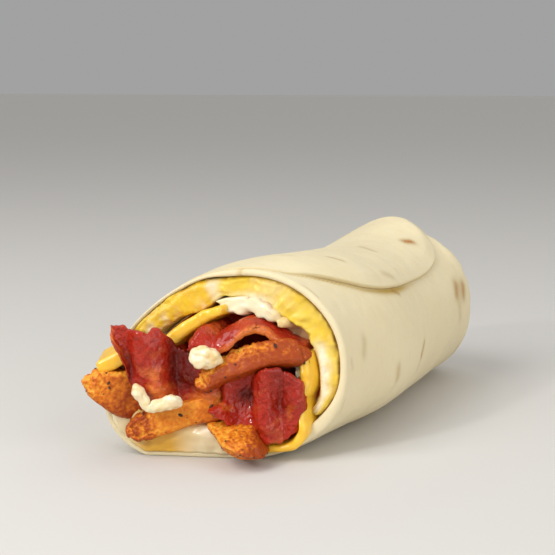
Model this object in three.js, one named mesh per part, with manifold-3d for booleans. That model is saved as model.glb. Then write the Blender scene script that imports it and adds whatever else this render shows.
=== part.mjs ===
// A breakfast burrito lying on its side. A flour tortilla is rolled round a folded egg sheet, cheese
// slices, three bacon strips, four seasoned potato pieces and white cheese sauce. One end is open and
// overfull, the other is tucked in, and the tortilla's last round edge lies over the top as a flap.
// Millimetres, +Z up. The open mouth faces -Y and the tucked end +Y. The origin lies on the flat spot
// that the roll rests on, halfway along the roll.
import * as THREE from 'three';
import { ParametricGeometry } from 'three/addons/geometries/ParametricGeometry.js';
import { mergeVertices } from 'three/addons/utils/BufferGeometryUtils.js';
import Module from 'manifold-3d';

// The roll
const ROLL_LENGTH = 155;
const MOUTH_WIDTH = 69.2;
const ROLL_HEIGHT = 58.4;
const TORTILLA = 2; // thickness of the sheet
const FULLNESS = 2.3; // power of the cross-section: 2 is an ellipse, more is boxier
const BELLY = 1.1; // extra half-width a third of the way back
const TAPER = 3; // half-width lost towards the tucked end
const WAIST = 3.5; // how far the top dips halfway along
const HUMP = 3; // how far it rises again over the tucked end
const SWAY = 2.8; // how far the middle of the roll bends to +X
const SINK = 1.2; // how far the round underside is pressed flat
const SHOULDER = 0.84; // share of the length where the tucked end starts to close
const END_ROUND = 2.1; // power of the tucked end's curve

// The mouth is cut at a slant and its outline has slumped out of round.
const MOUTH_SKEW = 0.39; // how far its -X side reaches ahead, per millimetre across
const MOUTH_LEAN = 0.13; // how far its top is set back, per millimetre up
const SKEW_REACH = 0.5; // share of the length over which the slant straightens out
const TOP_SLUMP = 0.06;
const THREE_LOBED = 0.054;
const LEANING = 0.047;
const UNDERCUT = 0.035; // how far the roll draws in low on its +X side

// The flap on top
const FLAP_END = 0.84; // share of the length where its round edge crosses the top
const FLAP_START = 0.012; // share of the length where it leaves the rim
const FLAP_LOW = 35; // lowest turn of its edge on the +X side, in degrees up from +X
const FLAP_FAR = 200; // turn where it sinks into the layer below
const FLAP_BULGE = 3.5; // how far it stands over the tuck below it

// The fillings
const EGG = 7.2; // thickness of the folded egg sheet
const EGG_DEPTH = 2.8; // from the roll's skin to the egg
const CHEESE = 2.9;
const BACON = 2.6;
const GAP = 0.35; // clearance between pieces that lie against each other
const AROUND = 40; // facets round the roll

const wasm = await Module();
wasm.setup();

const { degToRad, lerp, smoothstep } = THREE.MathUtils;
const swell = (value, centre, spread) => Math.exp(-(((value - centre) / spread) ** 2));
const vector = (x, y, z) => new THREE.Vector3(x, y, z);

// Geometry helpers

// One closed mesh: shared vertices merged, collapsed triangles dropped, faces turned outwards.
function closed(geometry) {
  const bare = new THREE.BufferGeometry();
  bare.setAttribute('position', geometry.getAttribute('position').clone());
  if (geometry.index) bare.setIndex(geometry.index.clone());
  const merged = mergeVertices(bare, 1e-3);
  const corners = [...merged.index.array];
  const at = (i) => vector().fromBufferAttribute(merged.attributes.position, i);
  const kept = [];
  let volume = 0;
  for (let i = 0; i < corners.length; i += 3) {
    const [a, b, c] = corners.slice(i, i + 3);
    if (a === b || b === c || c === a) continue;
    kept.push(a, b, c);
    volume += at(a).dot(at(b).cross(at(c)));
  }
  merged.setIndex(volume < 0 ? kept.reverse() : kept);
  return merged;
}

// A closed skin from a function of two shares from 0 to 1. The first goes round and meets itself.
function closedSkin(point, slices, stacks) {
  return closed(new ParametricGeometry((u, v, target) => target.copy(point(u, v)), slices, stacks));
}

// Spreads grid lines evenly, but for a narrow first and last cell, so that a sheet has a blunt rim.
function spaced(share, cells, rim) {
  const step = share * cells;
  if (step <= 1) return step * rim;
  if (step >= cells - 1) return 1 - (cells - step) * rim;
  return rim + ((step - 1) / (cells - 2)) * (1 - 2 * rim);
}

// A sheet with a blunt rim. place(along, across, out) is the point `out` from the sheet's middle.
function sheet(place, thickness, cellsAlong, cellsAcross, rimAlong = 0.02, rimAcross = 0.04) {
  const point = (around, length) => {
    const step = around * 2 * cellsAcross;
    const front = step <= cellsAcross;
    const across = spaced((front ? step : 2 * cellsAcross - step) / cellsAcross, cellsAcross, rimAcross);
    const along = spaced(length, cellsAlong, rimAlong);
    const inside = Math.min(across, 1 - across, along, 1 - along) > 1e-6;
    return place(along, across, inside ? (front ? 0.5 : -0.5) * thickness : 0);
  };
  return closedSkin(point, 2 * cellsAcross, cellsAlong);
}

// A mesh whose faces are all moved out by a gap, for cutting a neighbour with some clearance.
function grown(geometry, gap) {
  const bigger = geometry.clone();
  bigger.computeVertexNormals();
  const { position, normal } = bigger.attributes;
  const corners = geometry.index.array;
  const at = (i) => vector().fromBufferAttribute(geometry.attributes.position, i);
  const normalAt = (i) => vector().fromBufferAttribute(normal, i);
  const facing = new Float32Array(position.count).fill(1);
  for (let i = 0; i < corners.length; i += 3) {
    const face = corners.slice(i, i + 3);
    const [a, b, c] = [...face].map(at);
    const across = b.sub(a).cross(c.sub(a)).normalize();
    for (const corner of face) facing[corner] = Math.min(facing[corner], across.dot(normalAt(corner)));
  }
  for (let i = 0; i < position.count; i++) {
    const moved = at(i).addScaledVector(normalAt(i), gap / Math.max(0.6, facing[i]));
    position.setXYZ(i, moved.x, moved.y, moved.z);
  }
  return bigger;
}

function toSolid(geometry) {
  const mesh = new wasm.Mesh({
    numProp: 3,
    vertProperties: geometry.attributes.position.array,
    triVerts: new Uint32Array(geometry.index.array),
  });
  return new wasm.Manifold(mesh);
}

function toGeometry(solid) {
  const mesh = solid.getMesh();
  const geometry = new THREE.BufferGeometry();
  geometry.setAttribute('position', new THREE.BufferAttribute(mesh.vertProperties, 3));
  geometry.setIndex(new THREE.BufferAttribute(mesh.triVerts, 1));
  return geometry;
}

// Cuts the neighbours and their clearance out of a geometry, and keeps its largest piece.
function clearOf(geometry, neighbours) {
  let solid = toSolid(geometry);
  for (const other of neighbours) solid = solid.subtract(toSolid(grown(other, GAP))).subtract(toSolid(other));
  const pieces = toSolid(closed(toGeometry(solid))).decompose();
  return toGeometry(pieces.reduce((most, piece) => (piece.volume() > most.volume() ? piece : most)));
}

// The roll's form

// The outline of the cross-section: the distance from its middle to the skin at a turn.
function outline(angle, along, halfHeight) {
  const halfWidth = MOUTH_WIDTH / 2 + BELLY * swell(along, 0.33, 0.25) - TAPER * smoothstep(along, 0.55, 1.05);
  const sideways = Math.abs(Math.cos(angle) / halfWidth) ** FULLNESS;
  const upward = Math.abs(Math.sin(angle) / halfHeight) ** FULLNESS;
  const lobes = THREE_LOBED * Math.sin(3 * angle) - LEANING * Math.sin(2 * angle);
  const slump = (TOP_SLUMP * Math.sin(angle) + lobes) * (1 - 0.7 * smoothstep(along, 0.2, 0.8));
  const undercut = UNDERCUT * Math.max(0, Math.cos(angle + degToRad(42))) ** 6 * smoothstep(along, 0.1, 0.4);
  return (sideways + upward) ** (-1 / FULLNESS) * (1 - slump - undercut);
}

// A point of the roll. turn is in degrees, 0 at +X and 90 on top. along is 0 at the mouth and 1 at the
// tucked end. depth is the distance inside the outer skin.
function roll(turn, along, depth) {
  const angle = degToRad(turn);
  const underFlap = TORTILLA * (smoothstep(along, 0.15, 0.45) - smoothstep(along, SHOULDER, 0.9));
  const height = ROLL_HEIGHT - WAIST * swell(along, 0.55, 0.17) + HUMP * smoothstep(along, 0.6, 0.85) - underFlap;
  const halfHeight = (height + SINK) / 2;
  const shoulder = Math.max(0, along - SHOULDER) / (1 - SHOULDER);
  const closing = Math.max(0, 1 - shoulder ** END_ROUND) ** (1 / END_ROUND);
  const reach = (outline(angle, along, halfHeight) - depth) * closing;
  const x = SWAY * swell(along, 0.3, 0.2) - 0.8 * smoothstep(along, 0.6, 0.8) + reach * Math.cos(angle);
  const z = Math.max(height - halfHeight + reach * Math.sin(angle), depth);
  const straightEnd = (SHOULDER - 0.5) * ROLL_LENGTH;
  const tuckedEnd = ROLL_LENGTH / 2 - depth;
  const y = (Math.min(along, SHOULDER) - 0.5) * ROLL_LENGTH + (tuckedEnd - straightEnd) * shoulder;
  const slant = Math.max(0, 1 - along / SKEW_REACH);
  return vector(x, y + slant * (MOUTH_SKEW * x + MOUTH_LEAN * (z - 30)), z);
}

// The mouth's slanted plane at x and z, `ahead` millimetres in front of it.
function mouth(x, z, ahead = 0) {
  return vector(x, MOUTH_SKEW * x + MOUTH_LEAN * (z - 30) - ROLL_LENGTH / 2 - ahead, z);
}

// The tortilla

// The turn of the flap's edge: it leaves the mouth on top, swings down the side and rounds back up.
function flapEdge(along) {
  const front = 52 * Math.max(0, 1 - along / 0.25) ** 1.1;
  const run = Math.min(1, Math.max(0, (along - 0.42) / (FLAP_END - 0.42)));
  const rise = 16;
  const corner = 1 - (1 - run ** 40) ** (1 / 2.6);
  return FLAP_LOW + front + rise * run ** 2.6 + (FLAP_FAR - FLAP_LOW - rise) * corner;
}

function tortillaShell() {
  const wallSteps = 12;
  const endSteps = 6;
  const stops = [];
  for (let i = 0; i < wallSteps; i++) stops.push((SHOULDER * i) / wallSteps);
  for (let i = 0; i <= endSteps; i++) stops.push(lerp(SHOULDER, 1, Math.sin((Math.PI / 2) * (i / endSteps))));
  const inner = stops.filter((_, i) => i % 2 === 0).reverse();
  const rimAhead = 0.8;
  const profile = [
    ...inner.map((along) => [along, TORTILLA, 0]),
    [0, TORTILLA / 2, rimAhead],
    ...stops.map((along) => [along, 0, 0]),
  ];
  const point = (around, share) => {
    const [along, depth, ahead] = profile[Math.round(share * (profile.length - 1))];
    const onRoll = roll(360 * around - 90, along, depth);
    onRoll.y -= ahead;
    return onRoll;
  };
  return closedSkin(point, AROUND, profile.length - 1);
}

function flap() {
  const buried = 0.6;
  const place = (share, across, out) => {
    const along = lerp(FLAP_START, FLAP_END, Math.sin((Math.PI / 2) * share));
    const turn = lerp(flapEdge(along), FLAP_FAR, across);
    const bulge = FLAP_BULGE * swell(along, 0.8, 0.1) * swell(turn, 66, 26);
    const top = lerp(TORTILLA + bulge, -1, smoothstep(turn, 140, FLAP_FAR));
    if (out > 0) return roll(turn, along, -top);
    if (out < 0) return roll(turn, along, Math.max(0.3 - top, buried));
    return roll(turn, along, (buried - top) / 2);
  };
  return sheet(place, 1, 15, 10, 0.02, 0.012);
}

function tortilla() {
  return toGeometry(toSolid(tortillaShell()).add(toSolid(flap())));
}

// The fillings

function egg() {
  const middle = EGG_DEPTH + EGG / 2;
  const place = (share, across, out) => {
    const turn = lerp(-29, 161, across);
    const along = lerp(0.004, 0.72, share);
    const creases = 0.45 * Math.sin(turn / 9) - 0.45 - 1.2 * swell(turn, 100, 6);
    return roll(turn, along, middle - out + (out < 0 ? creases : 0));
  };
  return sheet(place, EGG, 8, 18, 0.012, 0.03);
}

// The right slice hangs against the egg and has melted down to the bottom of the roll.
function cheeseRight() {
  const place = (share, across, out) => {
    const turn = lerp(-72, 12, across);
    const depth = lerp(4.4, 12.2, smoothstep(turn, -54, -30)) + 0.3 * Math.sin(turn / 7);
    const point = roll(turn, lerp(0, SHOULDER, share), depth - out);
    point.y -= 2.5 * (1 - smoothstep(share, 0, 0.05));
    return point;
  };
  return sheet(place, CHEESE, 5, 7, 0.008, 0.04);
}

function cheeseLeft() {
  const place = (share, across, out) => {
    const turn = lerp(94, 158, across);
    const point = roll(turn, lerp(0, SHOULDER, share), lerp(12.2, 13, across) - out);
    point.y -= 2.5 * (1 - smoothstep(share, 0, 0.05));
    return point;
  };
  return sheet(place, CHEESE, 5, 6, 0.008, 0.05);
}

// The corner of a slice that pokes out between the left bacon and the left potato.
function cheeseCorner() {
  const place = (share, across, out) => {
    const corner = vector(-34.5, -99.5, 29.5);
    const inwards = vector(0.72, 0.66, 0.08).multiplyScalar(26 * share);
    const sideways = vector(0.62, -0.74, -0.25).multiplyScalar(9 * (across - 0.5));
    return corner.add(inwards).add(sideways).add(vector(0.25, 0, 0.97).multiplyScalar(out));
  };
  return sheet(place, CHEESE, 4, 3, 0.05, 0.12);
}

// A bacon strip standing on edge and folded to and fro. Each stop on its way is x, y, z and its width.
function foldedStrip(stops, cellsAlong) {
  const path = new THREE.CatmullRomCurve3(stops.map(([x, y, z]) => vector(x, y, z)), false, 'centripetal');
  const widths = new THREE.SplineCurve(stops.map(([, , , width], i) => new THREE.Vector2(i, width)));
  const place = (share, across, out) => {
    const run = share * (stops.length - 1);
    const point = path.getPoint(share);
    const ahead = path.getTangent(share);
    const side = vector(ahead.y, -ahead.x, 0).normalize();
    const edge = smoothstep(Math.abs(across - 0.5), 0.1, 0.5);
    const ripple = 0.7 * edge * Math.sin(2.1 * run + 4 * across);
    const wave = 0.8 * edge * Math.sin(1.7 * run + 2 * across);
    point.z += (across - 0.5) * widths.getPoint(share).y + wave;
    return point.add(side.multiplyScalar(out + ripple));
  };
  return sheet(place, BACON, cellsAlong, 3, 0.01, 0.08);
}

function baconLeft() {
  const stops = [
    [-29.5, -98.5, 35, 12],
    [-26.5, -93, 32.5, 17],
    [-18.5, -95, 29.8, 23],
    [-14.5, -84.5, 27.5, 22],
    [-7, -84, 25, 17],
    [-2.5, -83, 24, 15],
    [-2, -72, 24, 15],
    [-3, 42, 24, 16],
    [-3, 45, 24, 16],
  ];
  return foldedStrip(stops, 31);
}

function baconRight() {
  const stops = [
    [3.2, -87, 18, 10],
    [1.8, -83, 18.3, 15],
    [6.5, -77, 19.3, 20],
    [15, -80.5, 17.6, 22],
    [19, -75, 17.3, 22],
    [23.6, -73.5, 18, 19],
    [20, -62.5, 18.5, 15],
    [13, 42, 18, 16],
    [13, 45, 18, 16],
  ];
  return foldedStrip(stops, 31);
}

// The top strip lies flat along the roll, humped, and its front end curls down over the potato below.
function baconTop() {
  const curlRadius = 6;
  const place = (share, across, out) => {
    const x = lerp(-11, lerp(22, 20, share), across);
    const humps = 5 * swell(x, 6.5, 6) + 2.6 * swell(x, -5.4, 3.2);
    const sides = 6 * smoothstep(-x, 6.5, 13) + 5 * smoothstep(x, 11, 22);
    const level = 39.3 + (humps - sides) * (1 - 0.5 * smoothstep(share, 0.2, 0.8));
    const curl = lerp(10.5, 2.5, smoothstep(x, 3, 13));
    const length = 105 * share;
    const fold = Math.max(0, curl - length) / curlRadius;
    const point = mouth(x, level - 1.5 - curlRadius * (1 - Math.cos(fold)), 2 + curlRadius * Math.sin(fold));
    point.y += Math.max(0, length - curl);
    return point.add(vector(0, -Math.sin(fold), Math.cos(fold)).multiplyScalar(out));
  };
  return sheet(place, BACON, 10, 10, 0.012, 0.035);
}

// A potato piece between its tip and its far end: a rounded, bent and lumpy bar that narrows at the tip.
function potato({ tip, end, wide, thick, bend = 0, taper = 0.3, seed }) {
  const from = vector(...tip);
  const to = vector(...end);
  const axis = to.clone().sub(from);
  const geometry = new THREE.BoxGeometry(2, 2, 2, 7, 3, 3);
  const position = geometry.attributes.position;
  const level = vector(axis.y, -axis.x, 0).normalize();
  const upright = level.clone().cross(axis).normalize();
  for (let i = 0; i < position.count; i++) {
    const { x, y, z } = vector().fromBufferAttribute(position, i);
    const square = Math.max(Math.abs(y), Math.abs(z));
    const rounding = square / ((Math.abs(y) ** 3.2 + Math.abs(z) ** 3.2) ** (1 / 3.2) || 1);
    const narrow = 1 - taper * smoothstep(-x, -0.2, 1) - 0.28 * Math.abs(x) ** 6;
    const dome = x * (1 - 0.16 * square ** 2 * Math.abs(x) ** 5);
    const bumps = 1 + 0.06 * Math.sin(4 * x + seed) * Math.sin(3 * y + 2 * seed) + 0.04 * Math.sin(7 * x + 3 * z);
    const point = from.clone().addScaledVector(axis, (1 + dome) / 2);
    point.addScaledVector(level, (y * rounding * narrow * bumps * wide) / 2);
    point.addScaledVector(upright, (z * rounding * narrow * bumps * thick) / 2);
    point.z += bend * (1 - x * x);
    position.setXYZ(i, point.x, point.y, point.z);
  }
  return closed(geometry);
}

const POTATOES = {
  potato_left: { tip: [-39, -100, 26.5], end: [-19, -79, 13.5], wide: 12, thick: 13.5, taper: 0.12, seed: 1 },
  potato_top: { tip: [-7, -87, 22.8], end: [23, -67.5, 33.5], wide: 8.6, thick: 8.6, bend: 2.2, taper: 0.1, seed: 2 },
  potato_front: { tip: [-27, -94.5, 7.8], end: [0.5, -78.5, 16.3], wide: 8.4, thick: 8.6, bend: 1, taper: 0, seed: 3 },
  potato_bottom: { tip: [15, -94.5, 6.2], end: [-5, -64, 9], wide: 16, thick: 9, taper: 0.3, seed: 4 },
};

// A blob of sauce: an ellipsoid with three half-axes, turned by `lean` in the plane of the mouth.
function blob(centre, size, lean) {
  const geometry = new THREE.SphereGeometry(1, 10, 6);
  geometry.scale(...size);
  geometry.rotateY(degToRad(lean));
  geometry.rotateZ(degToRad(21));
  geometry.translate(...centre);
  return closed(geometry);
}

function sauceDrip() {
  const leftArm = blob([-19.4, -97.6, 19], [2.8, 2.8, 5.2], 25);
  const rightArm = blob([-14, -95, 17], [5.6, 2.8, 2.8], -10);
  return toGeometry(toSolid(leftArm).add(toSolid(rightArm)));
}

// The sauce fills what is left of the roll. Its front is flush at the rim and sunk behind the pieces.
function sauceCore() {
  const byTortilla = TORTILLA + 2 * GAP;
  const byEgg = EGG_DEPTH + EGG + 2 * GAP;
  const frontSteps = 7;
  const wallSteps = 6;
  const endSteps = 4;
  const steps = frontSteps + wallSteps + endSteps;
  const point = (around, share) => {
    const turn = 360 * around - 90;
    const depth = turn > -37 && turn < 163 ? byEgg : byTortilla;
    const step = Math.round(share * steps);
    const wall = Math.max(0, step - frontSteps) / wallSteps;
    const end = Math.sin((Math.PI / 2) * Math.max(0, (step - frontSteps - wallSteps) / endSteps));
    const edge = roll(turn, wall < 1 ? lerp(0.03, SHOULDER, wall) : lerp(SHOULDER, 1, end), depth);
    if (step >= frontSteps) return edge;
    const out = step / frontSteps;
    const sunk = mouth(0, 28, -4).lerp(edge, out);
    const sink = 16 - 11 * out * (1 - smoothstep(edge.z, 5, 25));
    sunk.y += sink * (1 - out ** 3) + 0.8 * Math.sin(degToRad(5 * turn)) * Math.sin(6 * out);
    return sunk;
  };
  return closedSkin(point, AROUND / 2, steps);
}

// Putting it together

const COLOURS = {
  tortilla: ['#dccfae', 0.75],
  egg: ['#edcf45', 0.5],
  cheese: ['#eaaf30', 0.4],
  bacon: ['#a02c1c', 0.35],
  potato: ['#c4752a', 0.6],
  sauce: ['#ecdcae', 0.3],
};

const burrito = new THREE.Group();
const placed = [];

// Adds a piece, cut clear of those placed before it.
function add(name, kind, geometry) {
  const [color, roughness] = COLOURS[kind];
  const fitted = clearOf(geometry, placed);
  const mesh = new THREE.Mesh(fitted, new THREE.MeshStandardMaterial({ color, roughness, metalness: 0 }));
  mesh.name = name;
  burrito.add(mesh);
  placed.push(fitted);
}

add('tortilla', 'tortilla', tortilla());
for (const [name, form] of Object.entries(POTATOES)) add(name, 'potato', potato(form));
add('bacon_right', 'bacon', baconRight());
add('bacon_top', 'bacon', baconTop());
add('bacon_left', 'bacon', baconLeft());
add('cheese_corner', 'cheese', cheeseCorner());
add('cheese_left', 'cheese', cheeseLeft());
add('cheese_right', 'cheese', cheeseRight());
add('sauce_lump', 'sauce', blob([-2.6, -87.2, 32.6], [5.2, 3.4, 3.5], 14));
add('sauce_drip', 'sauce', sauceDrip());
add('egg', 'egg', egg());
add('sauce', 'sauce', sauceCore());

export default burrito;
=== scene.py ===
# %% [markdown]
# # A breakfast burrito
# The real thing is a steamed flour tortilla rolled round a folded egg sheet, cheese slices, bacon, fried
# potato and thick white sauce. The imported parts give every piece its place. Each soft piece is modelled
# again here from the same measures, much finer, and stands in for its plain solid.

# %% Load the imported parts
import math
import random

import bmesh
import bpy
from mathutils import Matrix, Vector, noise
from mathutils.bvhtree import BVHTree


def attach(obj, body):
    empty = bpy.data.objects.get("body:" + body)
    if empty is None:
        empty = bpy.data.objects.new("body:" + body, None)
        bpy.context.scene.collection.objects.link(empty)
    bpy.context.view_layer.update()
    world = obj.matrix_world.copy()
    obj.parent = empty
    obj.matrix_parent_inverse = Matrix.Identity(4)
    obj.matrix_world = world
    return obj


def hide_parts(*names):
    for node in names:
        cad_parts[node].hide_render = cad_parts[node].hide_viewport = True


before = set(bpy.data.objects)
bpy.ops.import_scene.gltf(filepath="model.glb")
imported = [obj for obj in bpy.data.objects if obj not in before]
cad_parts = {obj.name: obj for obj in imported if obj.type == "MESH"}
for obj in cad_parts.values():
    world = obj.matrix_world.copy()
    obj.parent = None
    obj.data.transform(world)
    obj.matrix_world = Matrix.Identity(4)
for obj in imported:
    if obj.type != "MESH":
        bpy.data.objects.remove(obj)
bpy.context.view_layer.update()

print("nodes:", ", ".join(sorted(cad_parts)))

# %% [markdown]
# ## Small helpers
# Everything is worked out in millimetres and scaled to metres at the end of each piece. A soft bump is
# written as a swell round a centre, and a gradual change as a smooth step, so that forms can be read as
# measures of the food.

# %% Measures and helpers
MM = 0.001


def lerp(start, end, share):
    return start + (end - start) * share


def clamp(value):
    return min(1, max(0, value))


def smoothstep(value, low, high):
    share = clamp((value - low) / (high - low))
    return share * share * (3 - 2 * share)


def fade(value, low, high):
    return 1 - smoothstep(value, low, high)


def swell(value, centre, spread):
    return math.exp(-(((value - centre) / spread) ** 2))


def bumps(point, size, seed=0.0, octaves=2):
    """Smooth lumps of about `size` millimetres, from -1 to 1."""
    return noise.fractal(Vector(point) / size + Vector((seed, 1.7 * seed, -seed)), 0.8, 2.1, octaves)


# %% [markdown]
# A sheet or a bar starts as a cube whose faces are cut into a grid. Each grid point is then moved to its
# place on the piece by a rule in three shares. This keeps every piece closed, with even quads.

# %% Blocks, sheets and finished pieces
def block(cells):
    """A cube from -1 to 1 whose edges along X, Y and Z are cut into the given numbers of cells."""
    bm = bmesh.new()
    bmesh.ops.create_cube(bm, size=2)
    for axis, count in enumerate(cells):
        edges = [edge for edge in bm.edges if abs(edge.verts[0].co[axis] - edge.verts[1].co[axis]) > 1.5]
        if count > 1:
            bmesh.ops.subdivide_edges(bm, edges=edges, cuts=count - 1, use_grid_fill=True)
    return bm


def layers(bm, *names):
    return [bm.verts.layers.float.new(name) for name in names]


def close_up(bm):
    bmesh.ops.remove_doubles(bm, verts=bm.verts, dist=0.002)
    bmesh.ops.dissolve_degenerate(bm, edges=bm.edges, dist=0.001)
    bmesh.ops.recalc_face_normals(bm, faces=bm.faces)


def displace(bm, *waves):
    """Moves every point along its normal. A wave is a height, then what `bumps` takes after the point."""
    bm.normal_update()
    shifts = []
    for vert in bm.verts:
        height = sum(amount * bumps(vert.co, *wave) for amount, *wave in waves)
        shifts.append((vert, vert.normal * height))
    for vert, shift in shifts:
        vert.co += shift


def into_scene(name, data):
    thing = bpy.data.objects.new(name, data)
    bpy.context.scene.collection.objects.link(thing)
    return thing


def finish_piece(bm, name, material, slot, *nodes):
    bmesh.ops.scale(bm, vec=(MM, MM, MM), verts=bm.verts)
    for face in bm.faces:
        face.smooth = True
    mesh = bpy.data.meshes.new(name)
    bm.to_mesh(mesh)
    bm.free()
    mesh.materials.append(material)
    piece = into_scene(name, mesh)
    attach(piece, "root")
    if nodes:
        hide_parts(*nodes)
    mesh.calc_loop_triangles()
    print(f"{name}: {len(mesh.loop_triangles)} triangles")
    return piece


# %% A curve through stops
def smooth_path(stops, run):
    """A centripetal curve through stops of four numbers, at a run from 0 to the last stop."""
    index = min(int(run), len(stops) - 2)
    part = run - index
    points = [Vector(stop) for stop in stops]
    first = points[index - 1] if index > 0 else 2 * points[0] - points[1]
    last = points[index + 2] if index + 2 < len(points) else 2 * points[-1] - points[-2]
    p0, p1, p2, p3 = first, points[index], points[index + 1], last
    steps = [max(1e-4, (b.xyz - a.xyz).length) ** 0.5 for a, b in ((p0, p1), (p1, p2), (p2, p3))]
    slope1 = (p1 - p0) / steps[0] - (p2 - p0) / (steps[0] + steps[1]) + (p2 - p1) / steps[1]
    slope2 = (p2 - p1) / steps[1] - (p3 - p1) / (steps[1] + steps[2]) + (p3 - p2) / steps[2]
    slope1 *= steps[1]
    slope2 *= steps[1]
    cubed = 2 * p1 - 2 * p2 + slope1 + slope2
    squared = -3 * p1 + 3 * p2 - 2 * slope1 - slope2
    return cubed * part ** 3 + squared * part ** 2 + slope1 * part + p1


# %% [markdown]
# ## Finishes
# One function turns a hex colour to the linear one that a shader needs, and one adds a node with its
# settings and links. A finish lays its tints over one another, each by its amount. Food is soft and lets
# some light in, so most finishes have a little subsurface light.

# %% Helpers for finishes
def colour(code):
    channels = [int(code[i:i + 2], 16) / 255 for i in (1, 3, 5)]
    return (*[c / 12.92 if c <= 0.04045 else ((c + 0.055) / 1.055) ** 2.4 for c in channels], 1)


def add_node(tree, kind, inputs=(), **settings):
    """Adds a shader node with its settings. An input is a value, or a socket to link."""
    node = tree.nodes.new("ShaderNode" + kind)
    for name, value in settings.items():
        setattr(node, name, value)
    for key, value in dict(inputs).items():
        if isinstance(value, bpy.types.NodeSocket):
            tree.links.new(value, node.inputs[key])
        else:
            node.inputs[key].default_value = value
    return node


def new_finish(name, constants):
    material = bpy.data.materials.new(name)
    material.use_nodes = True
    tree = material.node_tree
    shader = tree.nodes["Principled BSDF"]
    for key, value in constants.items():
        shader.inputs[key].default_value = value
    place = add_node(tree, "TexCoord").outputs["Object"]
    return material, tree, place


def dress(material, tone, height=None, strength=0.0, distance=0.0):
    """Gives a finish its colour and, where a height is given, relief of `distance` metres."""
    tree = material.node_tree
    shader = tree.nodes["Principled BSDF"]
    tree.links.new(tone, shader.inputs["Base Color"])
    if height is not None:
        relief = add_node(tree, "Bump", {"Height": height, "Strength": strength, "Distance": distance})
        tree.links.new(relief.outputs[0], shader.inputs["Normal"])
    print("made", material.name)
    return material


# Inputs of a colour Mix node: its factor and its two colours. The third output is the colour.
FACTOR, UNDER, OVER = 0, 6, 7
MIXED = 2

# %% [markdown]
# ### Steamed flour tortilla
# Flour dough pressed thin, griddled for seconds and steamed: matte, cream, slightly uneven, with short
# faint streaks where it stretched round the roll and a few toasted spots. The streaks need to follow the
# sheet, so they read its own UV map, which holds millimetres round and along the roll. The toasted spots
# and a golden-olive painted shadow under the flap's edge are point attributes, because each has its own
# place.

# %% Steamed flour tortilla
def flour_tortilla():
    material, tree, place = new_finish("flour_tortilla_steamed", {
        "Roughness": 0.62, "IOR": 1.42, "Specular IOR Level": 0.35, "Subsurface Weight": 0.12,
        "Subsurface Radius": (1.0, 0.72, 0.45), "Subsurface Scale": 0.003})
    sheet = add_node(tree, "UVMap", uv_map="sheet").outputs["UV"]
    broad = add_node(tree, "TexNoise", {"Vector": place, "Scale": 38.0, "Detail": 3.0})
    # Streaks about 2 mm wide and 6 mm long, along the way round.
    stretched = add_node(tree, "Mapping", {"Vector": sheet, "Scale": (0.3, 1.0, 1.0)})
    streaks = add_node(tree, "TexNoise",
                       {"Vector": stretched.outputs[0], "Scale": 0.6, "Detail": 3.0, "Roughness": 0.6})
    streak_amount = add_node(tree, "MapRange", {
        "Value": streaks.outputs["Fac"], "From Min": 0.55, "From Max": 0.85, "To Max": 0.3})
    # The golden-olive tint #b8973f is a painted shadow on the sheet just under the flap's edge.
    flap_edge_shadow, toast = (add_node(tree, "Attribute", attribute_name=name).outputs["Fac"]
                  for name in ("flap_edge_shadow", "toast"))
    tint = colour("#dccca4")
    for amount, code in ((broad.outputs["Fac"], "#e5d8b4"), (streak_amount.outputs[0], "#cbb98a"),
                         (flap_edge_shadow, "#b8973f")):
        tint = add_node(tree, "Mix", {FACTOR: amount, UNDER: tint, OVER: colour(code)},
                        data_type="RGBA").outputs[MIXED]
    grain = add_node(tree, "TexNoise", {"Vector": place, "Scale": 1400.0, "Detail": 2.0})
    uneven = add_node(tree, "Math", {0: grain.outputs["Fac"], 1: 0.5, 2: 0.72}, operation="MULTIPLY_ADD")
    toasted = add_node(tree, "Math", {0: toast, 1: uneven.outputs[0]}, operation="MULTIPLY", use_clamp=True)
    tone = add_node(tree, "Mix", {FACTOR: toasted.outputs[0], UNDER: colour("#a8955a"),
                                  OVER: colour("#ad6c2b")}, data_type="RGBA")
    spotted = add_node(tree, "Mix", {FACTOR: toasted.outputs[0], UNDER: tint,
                                     OVER: tone.outputs[MIXED]}, data_type="RGBA")
    # Fine dough grain under 1 mm, and softer blisters of 4 mm.
    blisters = add_node(tree, "TexNoise", {"Vector": place, "Scale": 260.0, "Detail": 3.0})
    height = add_node(tree, "Math", {0: grain.outputs["Fac"], 1: 0.35, 2: blisters.outputs["Fac"]},
                      operation="MULTIPLY_ADD")
    return dress(material, spotted.outputs[MIXED], height.outputs[0], 0.28, 0.0006)


TORTILLA_FINISH = flour_tortilla()
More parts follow.
